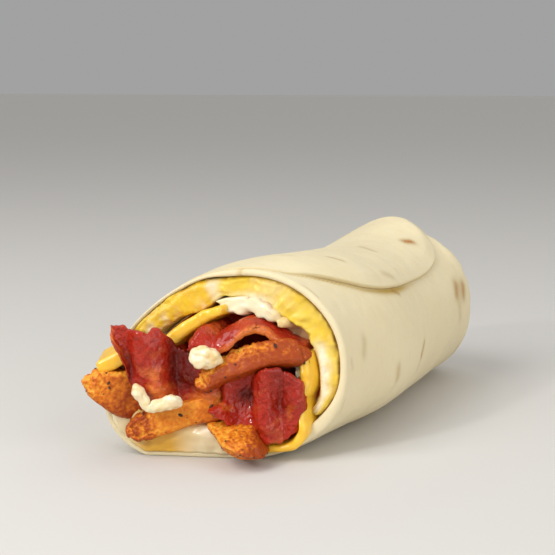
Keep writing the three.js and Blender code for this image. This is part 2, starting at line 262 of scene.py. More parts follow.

# %% [markdown]
# ### Cooked egg
# Beaten egg set in a thin sheet and folded: moist, yellow, with whiter curds and a browned skin where it
# touched the pan. Point attributes say where it is white, deep yellow or browned, and where painted shade
# darkens the inner edge of the left part against the cheese.

# %% Cooked egg
def cooked_egg():
    material, tree, place = new_finish("egg_sheet_cooked", {
        "Roughness": 0.36, "IOR": 1.4, "Subsurface Weight": 0.25, "Subsurface Radius": (1.0, 0.6, 0.2),
        "Subsurface Scale": 0.003, "Coat Weight": 0.15, "Coat Roughness": 0.3})
    curds = add_node(tree, "TexNoise", {"Vector": place, "Scale": 420.0, "Detail": 3.0, "Roughness": 0.6})
    broad = add_node(tree, "TexNoise", {"Vector": place, "Scale": 110.0, "Detail": 2.0})
    deep, white, browned_skin_and_shade = (add_node(tree, "Attribute", attribute_name=name).outputs["Fac"]
                          for name in ("deep", "white", "browned_skin_and_shade"))
    curdled = add_node(tree, "Math", {0: curds.outputs["Fac"], 1: 0.9, 2: 0.45}, operation="MULTIPLY_ADD")
    white_amount = add_node(tree, "Math", {0: white, 1: curdled.outputs[0]}, operation="MULTIPLY",
                            use_clamp=True)
    # 96701c is the browned skin, and also painted shade along the left part's inner edge.
    tint = colour("#e2b41a")
    for amount, code in ((broad.outputs["Fac"], "#edd355"), (deep, "#deae0a"),
                         (white_amount.outputs[0], "#efe3c6"), (browned_skin_and_shade, "#96701c")):
        tint = add_node(tree, "Mix", {FACTOR: amount, UNDER: tint, OVER: colour(code)},
                        data_type="RGBA").outputs[MIXED]
    return dress(material, tint, curds.outputs["Fac"], 0.5, 0.0007)


EGG_FINISH = cooked_egg()

# %% [markdown]
# ### Melted cheese
# Processed cheese slices, half melted: smooth, softly glossy and slightly see-through at the thin edges.

# %% Melted cheese
def melted_cheese():
    material, tree, place = new_finish("cheese_slice_melted", {
        "Roughness": 0.3, "IOR": 1.45, "Subsurface Weight": 0.3, "Subsurface Radius": (1.0, 0.5, 0.12),
        "Subsurface Scale": 0.003, "Coat Weight": 0.3, "Coat Roughness": 0.2})
    broad = add_node(tree, "TexNoise", {"Vector": place, "Scale": 160.0, "Detail": 2.0})
    base = add_node(tree, "Mix", {FACTOR: broad.outputs["Fac"], UNDER: colour("#efb526"),
                                  OVER: colour("#f5c73e")}, data_type="RGBA")
    return dress(material, base.outputs[MIXED], broad.outputs["Fac"], 0.25, 0.0008)


CHEESE_FINISH = melted_cheese()

# %% [markdown]
# ### Cooked streaky bacon
# Lean bands are dark red and ridged, fat bands turn orange and blister, and all of it is wet with fat, so
# it sparkles. The attribute `fat` follows the strip's own length, and `deep` is painted shade: it darkens
# the recesses and the parts that lie further behind the mouth.

# %% Cooked streaky bacon
def streaky_bacon():
    material, tree, place = new_finish("bacon_streaky_cooked", {
        "Roughness": 0.4, "IOR": 1.42, "Specular IOR Level": 0.22, "Subsurface Weight": 0.12,
        "Subsurface Radius": (1.0, 0.2, 0.08), "Subsurface Scale": 0.003, "Coat Weight": 0.5,
        "Coat Roughness": 0.045})
    grain = add_node(tree, "TexNoise", {"Vector": place, "Scale": 900.0, "Detail": 3.0, "Roughness": 0.6})
    broad = add_node(tree, "TexNoise", {"Vector": place, "Scale": 190.0, "Detail": 2.0})
    fat, deep = (add_node(tree, "Attribute", attribute_name=name).outputs["Fac"]
                 for name in ("fat", "deep"))
    # 4e0704, laid on by `deep`, is painted shade in the recesses.
    tint = colour("#8e0f06")
    for amount, code in ((broad.outputs["Fac"], "#c4310f"), (fat, "#e07a30"), (deep, "#4e0704")):
        tint = add_node(tree, "Mix", {FACTOR: amount, UNDER: tint, OVER: colour(code)},
                        data_type="RGBA").outputs[MIXED]
    height = add_node(tree, "Math", {0: broad.outputs["Fac"], 1: 2.5, 2: grain.outputs["Fac"]},
                      operation="MULTIPLY_ADD")
    return dress(material, tint, height.outputs[0], 1.0, 0.001)


BACON_FINISH = streaky_bacon()

# %% [markdown]
# ### Seasoned fried potato
# Potato in a thin spiced batter, fried: red-orange skin, golden crumbs where the batter stands up. A point
# attribute is high on the crumbs, which is their golden colour, and low in the hollows between them, which
# is painted shade.

# %% Seasoned fried potato
def fried_potato():
    material, tree, place = new_finish("potato_fried_seasoned", {
        "Roughness": 0.46, "IOR": 1.42, "Specular IOR Level": 0.3, "Subsurface Weight": 0.15,
        "Subsurface Radius": (1.0, 0.4, 0.1), "Subsurface Scale": 0.002, "Coat Weight": 0.06,
        "Coat Roughness": 0.25})
    grain = add_node(tree, "TexNoise", {"Vector": place, "Scale": 700.0, "Detail": 4.0, "Roughness": 0.65})
    crumb_gold_and_shade = add_node(tree, "Attribute", attribute_name="crumb_gold_and_shade").outputs["Fac"]
    mottled = add_node(tree, "Math", {0: grain.outputs["Fac"], 1: 0.4, 2: -0.2}, operation="MULTIPLY_ADD")
    amount = add_node(tree, "Math", {0: crumb_gold_and_shade, 1: mottled.outputs[0]}, operation="ADD", use_clamp=True)
    # Low values, in the crumbs' hollows and on some undersides, are painted shade; high values are the golden
    # crumbs.
    low = add_node(tree, "MapRange", {"Value": amount.outputs[0], "From Max": 0.5})
    high = add_node(tree, "MapRange", {"Value": amount.outputs[0], "From Min": 0.5})
    skin = add_node(tree, "Mix", {FACTOR: low.outputs[0], UNDER: colour("#9c3d0e"),
                                  OVER: colour("#d6761a")}, data_type="RGBA")
    crumbs = add_node(tree, "Mix", {FACTOR: high.outputs[0], UNDER: skin.outputs[MIXED],
                                    OVER: colour("#efad3c")}, data_type="RGBA")
    return dress(material, crumbs.outputs[MIXED], grain.outputs["Fac"], 0.5, 0.0006)


POTATO_FINISH = fried_potato()

# %% [markdown]
# ### White cheese sauce
# A thick, pale, glossy sauce. In the deep gaps between the pieces it carries a red-brown painted shade,
# which a point attribute marks.

# %% White cheese sauce
def cheese_sauce():
    material, tree, place = new_finish("cheese_sauce_white", {
        "Roughness": 0.24, "IOR": 1.42, "Subsurface Weight": 0.35, "Subsurface Radius": (1.0, 0.7, 0.35),
        "Subsurface Scale": 0.003, "Coat Weight": 0.35, "Coat Roughness": 0.12})
    broad = add_node(tree, "TexNoise", {"Vector": place, "Scale": 120.0, "Detail": 2.0})
    yellow, gap_shade = (add_node(tree, "Attribute", attribute_name=name).outputs["Fac"]
                 for name in ("yellow", "gap_shade"))
    # a52e0b is the red-brown painted shade of the gaps.
    tint = colour("#e8d8a4")
    for amount, code in ((broad.outputs["Fac"], "#f0e7ce"), (yellow, "#dba83a"), (gap_shade, "#a52e0b")):
        tint = add_node(tree, "Mix", {FACTOR: amount, UNDER: tint, OVER: colour(code)},
                        data_type="RGBA").outputs[MIXED]
    return dress(material, tint, broad.outputs["Fac"], 0.3, 0.0008)


SAUCE_FINISH = cheese_sauce()

# %% [markdown]
# ## The roll
# All pieces lie on one form: a rounded, slightly squashed roll with a slanted mouth and a closed end. The
# rule `roll` gives a point at a turn round the roll, a share of its length and a depth under its skin.

# %% The roll's form
ROLL_LENGTH = 155
MOUTH_WIDTH = 69.2
ROLL_HEIGHT = 58.4
TORTILLA = 2
FULLNESS = 2.3
BELLY = 1.1  # extra half-width a third of the way back
TAPER = 2.4  # half-width lost towards the tucked end
WAIST = 3  # how far the top dips, most at 0.7 of the length
HUMP = 2.2  # how far it rises again over the tucked end
SWAY = 2.8  # how far the roll bends to +X, a third of the way back
SINK = 1.2  # how far the round underside is pressed flat
# Shares by which the outline departs from a plain rounded one.
THREE_LOBED, LEANING, TOP_SLUMP, UNDERCUT = 0.054, 0.047, 0.06, 0.046
SHOULDER = 0.84  # share of the length where the tucked end starts to close
END_ROUND = 2.42
END_LEAN = 0.188  # how far the tucked end leans towards the mouth, per millimetre up
MOUTH_SKEW, MOUTH_LEAN, MOUTH_LEVEL = 0.39, 0.13, 30  # slant per millimetre across and up, and its level
SKEW_REACH = 0.5  # share of the length over which the slant straightens out
ARC = 0.58  # millimetres round the skin for one degree


def outline(angle, along, half_height):
    half_width = MOUTH_WIDTH / 2 + BELLY * swell(along, 0.33, 0.25) - TAPER * smoothstep(along, 0.55, 1.05)
    sideways = abs(math.cos(angle) / half_width) ** FULLNESS
    upward = abs(math.sin(angle) / half_height) ** FULLNESS
    lobes = THREE_LOBED * math.sin(3 * angle) - LEANING * math.sin(2 * angle)
    slump = (TOP_SLUMP * math.sin(angle) + lobes) * (1 - 0.7 * smoothstep(along, 0.2, 0.8))
    undercut = UNDERCUT * max(0, math.cos(angle + math.radians(40))) ** 6
    return (sideways + upward) ** (-1 / FULLNESS) * (1 - slump - undercut)


def roll(turn, along, depth):
    """A point of the roll. turn is in degrees, 0 at +X and 90 on top; along is 0 at the mouth."""
    angle = math.radians(turn)
    under_flap = TORTILLA * (smoothstep(along, 0.15, 0.45) - smoothstep(along, SHOULDER, 0.9))
    height = ROLL_HEIGHT - WAIST * swell(along, 0.7, 0.21) + HUMP * smoothstep(along, 0.51, 0.81) - under_flap
    half_height = (height + SINK) / 2
    shoulder = max(0, along - SHOULDER) / (1 - SHOULDER)
    closing = max(0, 1 - shoulder ** END_ROUND) ** (1 / END_ROUND)
    reach = (outline(angle, along, half_height) - depth) * closing
    x = SWAY * swell(along, 0.3, 0.2) - 0.8 * smoothstep(along, 0.6, 0.8) + reach * math.cos(angle)
    z = max(height - half_height + reach * math.sin(angle), depth)
    straight_end = (SHOULDER - 0.5) * ROLL_LENGTH
    tucked_end = ROLL_LENGTH / 2 - depth
    y = (min(along, SHOULDER) - 0.5) * ROLL_LENGTH + (tucked_end - straight_end) * shoulder
    y -= END_LEAN * (z - 28) * smoothstep(along, 0.7, 1)
    slant = max(0, 1 - along / SKEW_REACH)
    return Vector((x, y + slant * (MOUTH_SKEW * x + MOUTH_LEAN * (z - MOUTH_LEVEL)), z))


def mouth(x, z, ahead=0.0):
    """A point on the slanted plane of the mouth, `ahead` millimetres in front of it."""
    return Vector((x, MOUTH_SKEW * x + MOUTH_LEAN * (z - MOUTH_LEVEL) - ROLL_LENGTH / 2 - ahead, z))


def behind_mouth(point):
    return point[1] - mouth(point[0], point[2])[1]


print("skin at the top, halfway:", tuple(round(c, 1) for c in roll(90, 0.5, 0)))

# %% [markdown]
# ## The tortilla
# The wrap is one grid that runs from deep inside, over the rounded rim, along the outside and round the
# tucked end, which has a low fold and shallow pleats. Its two long edges meet under the roll and are
# merged. Toasted spots lie where the dough puffed on the griddle.

# %% Spots and soft relief of the sheet
# Each spot is a short stroke: from turn and share of the length, to turn and share, half width in
# millimetres, and strength.
SPOTS = [
    (64.2, 0.718, 61.6, 0.734, 2.1, 1.0),
    (67.5, 0.230, 60.5, 0.240, 1.1, 0.6),
    (78.5, 0.556, 67.0, 0.536, 1.6, 0.42),
    (44.5, 0.352, 41.0, 0.395, 1.6, 0.36),
    (81.0, 0.130, 78.0, 0.140, 1.2, 0.2),
    (21.0, 0.786, 15.0, 0.766, 2.4, 0.7),
    (18.5, 0.838, 12.5, 0.824, 2.4, 0.7),
    (19.0, 0.812, 13.0, 0.796, 3.0, 0.3),
    (6.5, 0.775, 0.0, 0.782, 2.2, 0.32),
    (-1.5, 0.475, -8.0, 0.443, 1.15, 0.66),
    (-8.0, 0.443, -15.0, 0.424, 1.15, 0.3),
    (-9.5, 0.261, -15.5, 0.269, 1.8, 0.5),
    (11.0, 0.096, 4.5, 0.084, 1.9, 0.36),
    (3.5, 0.021, -1.0, 0.026, 0.6, 0.34),
    (33.4, 0.352, 30.6, 0.382, 0.9, 0.75),
    (52.0, 0.004, 41.0, 0.006, 0.45, 0.4),
    (-17.0, 0.010, -24.0, 0.016, 0.45, 0.3),
]
random.seed(11)
for _ in range(52):
    turn, along = random.uniform(95, 330), random.uniform(0.04, 0.95)
    SPOTS.append((turn, along, turn + random.uniform(1, 8), along + random.uniform(-0.012, 0.012),
                  random.uniform(0.8, 2.0), random.uniform(0.12, 0.42)))
for _ in range(6):
    turn, along = random.uniform(110, 320), random.uniform(0.1, 0.9)
    SPOTS.append((turn, along, turn + 3, along + 0.015, random.uniform(1.5, 2.2), random.uniform(0.7, 1)))


def toasting(turn, along):
    total = 0
    for turn_a, along_a, turn_b, along_b, half_width, strength in SPOTS:
        if abs(along - along_a) > 0.06:
            continue
        middle = (turn_a + turn_b) / 2
        turn_here = middle + (turn - middle + 180) % 360 - 180
        start = Vector((turn_a * ARC, along_a * ROLL_LENGTH))
        stroke = Vector((turn_b * ARC, along_b * ROLL_LENGTH)) - start
        away = Vector((turn_here * ARC, along * ROLL_LENGTH)) - start
        part = clamp(away.dot(stroke) / stroke.length_squared)
        total += strength * math.exp(-((away - part * stroke).length / half_width) ** 2)
    return min(1, total)


def sheet_relief(turn, along):
    """Soft waves of the sheet, in millimetres outwards."""
    angle = math.radians(turn)
    place = (40 * math.cos(angle), ROLL_LENGTH * along, 40 * math.sin(angle))
    return 0.45 * bumps(place, 26, 3.1) + 0.16 * bumps(place, 9, 5.2)


# %% The flap's edge
# Stops of the edge: it leaves the mouth on top, swings down the side, runs along it and rounds back up.
FLAP_FAR = 200
EDGE_STOPS = [
    (96, 0.008), (80, 0.010), (64, 0.030), (52.5, 0.100), (42, 0.184), (37.4, 0.25), (34.8, 0.36),
    (34.6, 0.48), (35.8, 0.605), (38.2, 0.69), (43, 0.762), (50.5, 0.812), (60, 0.848), (76, 0.88),
    (105, 0.894), (150, 0.885), (FLAP_FAR, 0.87)]
EDGE_STEPS = 1600
FLAP_START = EDGE_STOPS[0][1]
FLAP_END = EDGE_STOPS[-1][1]
edge_path = [(turn * ARC, along * ROLL_LENGTH, 0, 0) for turn, along in EDGE_STOPS]
edge_points = []
for step in range(EDGE_STEPS + 1):
    place = smooth_path(edge_path, step / EDGE_STEPS * (len(edge_path) - 1))
    edge_points.append((place.x / ARC, place.y / ROLL_LENGTH))
edge_lengths = [0.0]
for (turn_a, along_a), (turn_b, along_b) in zip(edge_points, edge_points[1:]):
    step_length = math.hypot((turn_b - turn_a) * ARC, (along_b - along_a) * ROLL_LENGTH)
    edge_lengths.append(edge_lengths[-1] + step_length)
print("length of the flap's edge:", round(edge_lengths[-1]), "mm")


def on_flap_edge(share):
    """Turn and share of the length at a share of the flap's edge."""
    target = share * edge_lengths[-1]
    low, high = 0, len(edge_lengths) - 1
    while high - low > 1:
        middle = (low + high) // 2
        low, high = (middle, high) if edge_lengths[middle] <= target else (low, middle)
    part = (target - edge_lengths[low]) / max(1e-9, edge_lengths[high] - edge_lengths[low])
    (turn_a, along_a), (turn_b, along_b) = edge_points[low], edge_points[high]
    return lerp(turn_a, turn_b, part), lerp(along_a, along_b, part)


def flap_edge(along):
    """The turn of the flap's visible edge at a share of the length."""
    side_points = (point for point in edge_points if point[0] < 100)
    return min(side_points, key=lambda point: abs(point[1] - along))[0]


# %% The wrap
def tortilla_wrap():
    rows = [(along, TORTILLA, 0) for along in (1, 0.97, 0.93, 0.88, SHOULDER, 0.7, 0.5, 0.35, 0.25, 0.18)]
    near_mouth = (0.13, 0.1, 0.08, 0.062, 0.048, 0.036, 0.026, 0.018, 0.011, 0.005)
    rows += [(along, TORTILLA, 0) for along in near_mouth]
    for step in range(9):
        angle = math.pi * step / 8
        rows.append((0, 1 + math.cos(angle), math.sin(angle)))
    straight = 150
    rows += [(SHOULDER * (step / straight), 0, 0) for step in range(1, straight)]
    rows += [(lerp(SHOULDER, 1, math.sin(math.pi / 2 * step / 40)), 0, 0) for step in range(41)]
    around = 260
    edge_turns = [flap_edge(along) for along, _, _ in rows]
    bm = bmesh.new()
    bmesh.ops.create_grid(bm, x_segments=around, y_segments=len(rows) - 1, size=1)
    flap_edge_shadow, toast = layers(bm, "flap_edge_shadow", "toast")
    sheet = bm.loops.layers.uv.new("sheet")
    for vert in bm.verts:
        turn = 180 * (vert.co.x + 1) - 90
        row = round((vert.co.y + 1) / 2 * (len(rows) - 1))
        along, depth, ahead = rows[row]
        vert[toast] = toasting(turn, along)
        # Painted shadow: a golden-olive band on the wrap just below the flap's edge, strongest about a third
        # of the way back and gone beyond 0.6 of the length.
        below = (edge_turns[row] - turn) * ARC
        reach = fade(along, 0.42, 0.6)
        strength = 0.55 + 0.45 * swell(along, 0.35, 0.12) + 0.3 * swell(along, 0.1, 0.06)
        spread = 0.8 + 0.6 * swell(along, 0.35, 0.12)
        shadow_amount = strength * reach * math.exp(-((below - 0.8) / spread) ** 2)
        vert[flap_edge_shadow] = min(1, shadow_amount) if below > -6 else 0
        for loop in vert.link_loops:
            loop[sheet].uv = (turn * ARC, along * ROLL_LENGTH)
        depth *= 1 + 0.9 * swell(turn, -36, 20) * fade(along, 0.1, 0.25)
        thin_rim = 0.5 * smoothstep(turn, 90, 110) * fade(turn, 165, 190)
        depth *= 1 - thin_rim * fade(along, 0.03, 0.1)
        lift = sheet_relief(turn, along) * smoothstep(along, 0, 0.06) * fade(along, 0.93, 1)
        pleats = swell(turn, 24, 4) + swell(turn, 157, 4) + 0.6 * swell(turn, 48, 5)
        lift -= 0.8 * pleats * smoothstep(along, 0.86, 0.93) * fade(along, 0.96, 1)
        point = roll(turn, along, depth - (lift if depth < 1 else 0))
        angle = math.radians(turn)
        uneven = 0.5 * bumps((20 * math.cos(angle), 20 * math.sin(angle), 0), 14, 8.3)
        point.y -= ahead * 0.95 + uneven * fade(along, 0, 0.05)
        # The tucked end: a lower flap folded up over the upper one, with a soft step where it ends.
        fold_line = 29 + 0.16 * point.x + 2.2 * math.sin(point.x / 11)
        tuck = smoothstep(along, 0.87, 0.95) * (smoothstep(fold_line - point.z, -0.5, 0.9) - 0.5)
        point.y += 1.3 * tuck
        point.z = max(0, point.z)
        vert.co = point
    close_up(bm)
    return finish_piece(bm, "tortilla_wrap", TORTILLA_FINISH, "tortilla", "tortilla")


tortilla_wrap()

# %% [markdown]
# The flap is the last part of the sheet. It is a second grid that starts at the flap's round edge and runs
# over the top, until it dives into the wrap on the far side. Its edge is rounded and throws a thin shadow.

# %% The flap
def flap_sheet():
    radius = 0.75
    rim = [0, 0.03, 0.1, 0.2, 0.34, 0.52, 0.75]
    across_cells = 96
    bm = block((300, across_cells, 1))
    flap_edge_shadow, toast = layers(bm, "flap_edge_shadow", "toast")
    sheet = bm.loops.layers.uv.new("sheet")
    for vert in bm.verts:
        share = (vert.co.x + 1) / 2
        column = round((vert.co.y + 1) / 2 * across_cells)
        side = vert.co.z
        edge_turn, edge_along = on_flap_edge(share)
        before, after = on_flap_edge(max(0, share - 0.01)), on_flap_edge(min(1, share + 0.01))
        tangent = Vector(((after[0] - before[0]) * ARC, (after[1] - before[1]) * ROLL_LENGTH)).normalized()
        far_along = lerp(FLAP_START, FLAP_END, share)
        ruling = Vector(((FLAP_FAR - edge_turn) * ARC, (far_along - edge_along) * ROLL_LENGTH))
        length = ruling.length
        if column < len(rim):
            inwards = min(rim[column], length)
        else:
            further = (column - len(rim) + 1) / (across_cells - len(rim) + 1)
            inwards = lerp(min(rim[-1], length), length, further)
        part = inwards / length if length > 0 else 0
        turn, along = lerp(edge_turn, FLAP_FAR, part), lerp(edge_along, far_along, part)
        slope = abs(tangent.cross(ruling.normalized())) if length > 0 else 1
        from_edge = min(inwards * max(slope, 0.3), (along - FLAP_START) * ROLL_LENGTH + 0.02)
        half = radius * math.sqrt(max(0, 1 - (1 - min(1, from_edge / radius)) ** 2))
        lift = lerp(0.5, TORTILLA, smoothstep(along, 0, 0.13)) * lerp(0.72, 1, smoothstep(from_edge, 0, 7))
        bulge = 4.9 * swell(along, 0.9, 0.165) * swell(turn, 82, 28) * smoothstep(from_edge, -4, 6)
        top = lerp(lift + bulge, -1, smoothstep(turn, 140, FLAP_FAR))
        vert[toast] = toasting(turn, along)
        # Painted shadow along the flap's own rim, up to three quarters of the way back.
        vert[flap_edge_shadow] = 0.35 * fade(from_edge, 0, 0.9) * fade(along, 0.75, 0.82)
        for loop in vert.link_loops:
            loop[sheet].uv = (turn * ARC, along * ROLL_LENGTH)
        vert.co = roll(turn, along, radius - top - side * half - sheet_relief(turn, along))
    close_up(bm)
    return finish_piece(bm, "tortilla_flap", TORTILLA_FINISH, "tortilla", "tortilla")


flap_sheet()

# %% [markdown]
# ## Egg and cheese
# Both are sheets that follow the roll. Only the first millimetres behind the mouth show, so the grid is
# fine there and gets coarser further in.

# %% Sheets that follow the roll
def rounded(x, place, length, width, half, rim):
    """Turns a block's point into shares along and across, and the way out, with a rounded rim.

    x is the share along, and place the point in the block.
    """
    y, z = (place.y + 1) / 2, place.z
    out = half * z
    shift = 0
    if abs(z) < 0.9999:
        angle = math.pi / 2 * z
        out = half * math.copysign(abs(math.sin(angle)) ** 0.8, z)
        shift = rim * math.cos(angle) ** 0.8
    along = rim + (length - 2 * rim) * x
    across = rim + (width - 2 * rim) * y
    if x <= 0 or x >= 1:
        along += shift * (1 if x >= 1 else -1)
    if y <= 0 or y >= 1:
        across += shift * (1 if y >= 1 else -1)
    return along / length, across / width, out


def nearer_front(x, fine=2.6):
    """Spreads grid lines so that they lie close together at the mouth."""
    return ((x + 1) / 2) ** fine


# %% The egg sheet
EGG = 7.2
EGG_DEPTH = 2.8


def egg_sheet():
    bm = block((46, 240, 16))
    white, deep, browned_skin_and_shade = layers(bm, "white", "deep", "browned_skin_and_shade")
    for vert in bm.verts:
        front = vert.co.x < -0.999
        share, across, out = rounded(nearer_front(vert.co.x), vert.co, 112, 102, EGG / 2, 1.6)
        turn = lerp(-29, 161, across)
        creases = 0.45 * math.sin(turn / 9) - 0.45 - 1.2 * swell(turn, 100, 6)
        thin = smoothstep(-turn, 6, 29)
        depth = EGG_DEPTH - 0.4 - 0.4 * thin - 1.3 * smoothstep(turn, 96, 112) + EGG / 2
        depth = depth - out * (1 - 0.45 * thin) + creases * (0.5 - out / EGG)
        depth += (3.2 * swell(turn, 46, 15) + 1.9 * swell(turn, 116, 13)) * smoothstep(-out, -3.6, 3.6)
        along = lerp(0.004, 0.72, share)
        point = roll(turn, along, depth)
        uneven = bumps((turn * ARC, out, 0), 6, 2.3)
        folds = 0.5 * math.sin(2.2 * out + 3 * uneven + turn / 30)
        if front:
            point.y -= 0.8 * uneven + 0.5 * folds + 1.2 * smoothstep(turn, 98, 115) + 0.8 * thin
        speck = bumps(point, 3.2, 4.0, 3)
        seam = swell(turn, 104 + 1.5 * uneven, 3.2)
        crumbly = swell(turn, 150, 11) * smoothstep(-out, -1.5, 2)
        crumbly += 0.8 * swell(turn, 118, 7) * smoothstep(-out, 0.5, 3)
        band = smoothstep(24 - turn, 0, 16) * swell(out, -1.5 + 0.5 * speck, 2.0)
        top_white = 0.55 * swell(turn, 78, 16) * swell(out, -2.6, 1.4) + 0.3 * swell(turn, 66, 13)
        vert[white] = clamp(0.75 * seam + crumbly * (0.6 + speck) + 1.1 * band + top_white + 0.16 * speck)
        left = smoothstep(turn, 100, 108)
        vert[deep] = clamp(left * (0.65 + 0.2 * speck + 0.2 * swell(out, -1.2, 1.2))
                           + 0.25 * speck + 0.3 * swell(turn, 25, 12) * swell(out, 1.2, 1.2))
        # skin_line is the egg's browned skin; the term on the left part's inner face is painted shade where
        # the egg meets the cheese.
        skin_line = smoothstep(out, 2.5, 3.3) * smoothstep(62 - turn, 0, 14)
        vert[browned_skin_and_shade] = clamp(skin_line * (0.9 + 1.0 * speck) + 0.35 * left * smoothstep(-out, 2.9, 3.5))
        vert.co = point
    close_up(bm)
    displace(bm, (0.26, 2.6, 6.0), (0.12, 1.1, 9.0))
    return finish_piece(bm, "egg_sheet", EGG_FINISH, "egg", "egg")


egg_sheet()

# %% The cheese slices
CHEESE = 2.9


def cheese_right():
    bm = block((34, 130, 6))
    for vert in bm.verts:
        share, across, out = rounded(nearer_front(vert.co.x), vert.co, 130, 40, CHEESE / 2, 1.3)
        turn = lerp(-72, 12, across)
        depth = lerp(3.4, 11.2, smoothstep(turn, -40, -20)) + 0.3 * math.sin(turn / 7)
        over_rim = swell(turn, -47, 9) * fade(share, 0, 0.04)
        depth -= 2.6 * over_rim
        point = roll(turn, lerp(0, SHOULDER, share), depth - out)
        ahead = 3.9 - 1.2 * smoothstep(turn, -12, 6) + 0.9 * bumps((turn * ARC, 0, 0), 7, 1.1)
        ahead += 1.8 * swell(turn, -40, 14)
        out *= 1 + 0.6 * swell(turn, -36, 14) - 0.3 * smoothstep(turn, -18, -4)
        point.y -= ahead * fade(share, 0, 0.05)
        vert.co = point
    close_up(bm)
    displace(bm, (0.35, 5, 2.0))
    return finish_piece(bm, "cheese_slice_right", CHEESE_FINISH, "cheese", "cheese_right")


def cheese_left():
    bm = block((34, 110, 6))
    for vert in bm.verts:
        share, across, out = rounded(nearer_front(vert.co.x), vert.co, 130, 30, CHEESE / 2, 1.3)
        turn = lerp(94, 162, across)
        point = roll(turn, lerp(0, SHOULDER, share), lerp(11.9, 12.8, across) - out * lerp(1.15, 1.6, across))
        ahead = 4.2 + 0.8 * bumps((turn * ARC, 0, 0), 8, 4.1)
        point.y -= ahead * fade(share, 0, 0.05)
        vert.co = point
    close_up(bm)
    displace(bm, (0.3, 5, 3.0))
    return finish_piece(bm, "cheese_slice_left", CHEESE_FINISH, "cheese", "cheese_left")


def cheese_corner():
    bm = block((48, 24, 6))
    for vert in bm.verts:
        share, across, out = rounded((vert.co.x + 1) / 2, vert.co, 13, 14, CHEESE / 2, 1.0)
        corner = Vector((-34.8, -98.0, 27.6))
        point = corner + Vector((0.8, 0.4, 0.44)) * 13 * share + Vector((-0.4, 0.9, 0.1)) * 14 * across
        vert.co = point + Vector((-0.42, -0.1, 0.9)) * out * 1.6
    close_up(bm)
    displace(bm, (0.25, 4, 5.0))
    return finish_piece(bm, "cheese_slice_corner", CHEESE_FINISH, "cheese", "cheese_corner")


cheese_right()
cheese_left()
cheese_corner()

# %% [markdown]
# ## Bacon
# A strip is a long sheet that stands on edge or lies flat, folds to and fro and ruffles at its edges. The
# way it takes is a smooth curve through a few stops, each with the strip's width there.

# %% Standing strips
BACON = 2.6
SHOWN = 0.86  # share of a strip's grid that lies in the mouth, before the part that runs into the roll


def standing_strip(name, node, stops, shape, fattiness, recess_shade):
    visible = len(stops) - 3
    bm = block((230, 56, 5))
    fat, deep = layers(bm, "fat", "deep")
    for vert in bm.verts:
        share, across, out = rounded((vert.co.x + 1) / 2, vert.co, 75, 20, BACON / 2, 1.0)
        if share < SHOWN:
            run = share / SHOWN * visible
        else:
            run = lerp(visible, len(stops) - 1, (share - SHOWN) / (1 - SHOWN))
        here = smooth_path(stops, run)
        ahead = smooth_path(stops, min(run + 0.02, len(stops) - 1)) - smooth_path(stops, max(run - 0.02, 0))
        side = Vector((ahead.y, -ahead.x, 0)).normalized()
        edge = smoothstep(abs(across - 0.5), 0.1, 0.5)
        ripple = 0.7 * edge * math.sin(2.1 * run + 4 * across) + 0.5 * math.sin(6.5 * across + 2 * run)
        wave = 0.8 * edge * math.sin(1.7 * run + 2 * across)
        ruffle = 0.8 * edge * bumps((9 * run, 6 * across, 0), 4, 7.7)
        point = here.xyz + Vector((0, 0, (across - 0.5) * here.w + wave + ruffle))
        point += side * (out + ripple) + shape(run, across)
        streak = bumps((3.0 * run, 26 * across + 2.5 * bumps((5 * run, across, 0), 4), 0), 5, 3.3)
        vert[fat] = clamp(fattiness(run, across) + 0.75 * streak)
        # Painted shade: darker the further behind the mouth, plus the shade in the folds given for each
        # strip.
        vert[deep] = min(1, 0.75 * smoothstep(behind_mouth(point), -2, 9) + recess_shade(run, across))
        vert.co = point
    close_up(bm)
    displace(bm, (0.55, 4.2, 1.0), (0.18, 1.3, 2.0, 3))
    return finish_piece(bm, name, BACON_FINISH, "bacon", node)


def left_shape(run, across):
    return Vector((0, -1.5 * swell(run, 2, 0.6) * (across - 0.5), 0))


def left_fat(run, across):
    bottom = fade(across, 0.1, 0.5)
    rim = 0.6 * fade(run, 0, 0.3)
    rim += 0.4 * fade(across, 0, 0.12) * fade(run, 0.9, 1.2)
    ridge = 0.95 * swell(run, 2.5, 0.6) * fade(across, 0.25, 0.6)
    return rim + ridge + 0.9 * bottom * smoothstep(run, 4.0, 5.0) - 0.12


def left_recess_shade(run, across):
    # Painted shade in the valley of the left fold and in the recess behind the ridge.
    valley = swell(run, 1.05, 0.3) * fade(across, 0.45, 0.8)
    recess = smoothstep(run, 3.2, 3.7) * fade(run, 5.0, 5.8) * smoothstep(across, 0.1, 0.5)
    return 0.55 * valley + 0.75 * recess


standing_strip("bacon_strip_left", "bacon_left", [
    (-29.5, -98.5, 39.5, 4.5),
    (-24.8, -94.6, 33.2, 17.5),
    (-19.4, -95.4, 29.6, 23.5),
    (-16.0, -92.8, 29.1, 23),
    (-13.6, -85.6, 25.2, 18.5),
    (-8, -84, 25, 18),
    (-2.5, -83, 24, 15),
    (-2, -72, 24, 15),
    (-3, 42, 24, 16),
    (-3, 45, 24, 16),
], left_shape, left_fat, left_recess_shade)


def right_shape(run, across):
    low = fade(across, 0, 0.5)
    forward = 6.0 * low ** 1.3 * fade(run, 1.9, 2.9)
    hollow = 1.6 * swell(run, 3.6, 0.3) * swell(across, 0.5, 0.3)
    hollow += 1.2 * swell(run, 2.0, 0.5) * swell(across, 0.6, 0.2)
    return Vector((-0.3 * forward, hollow - forward, 0.1 * forward))


def right_fat(run, across):
    spots = 0.8 * swell(run, 4.5, 0.3) * swell(across, 0.35, 0.14)
    low_edge = 0.3 * fade(across, 0, 0.12)
    return spots + low_edge - 0.2


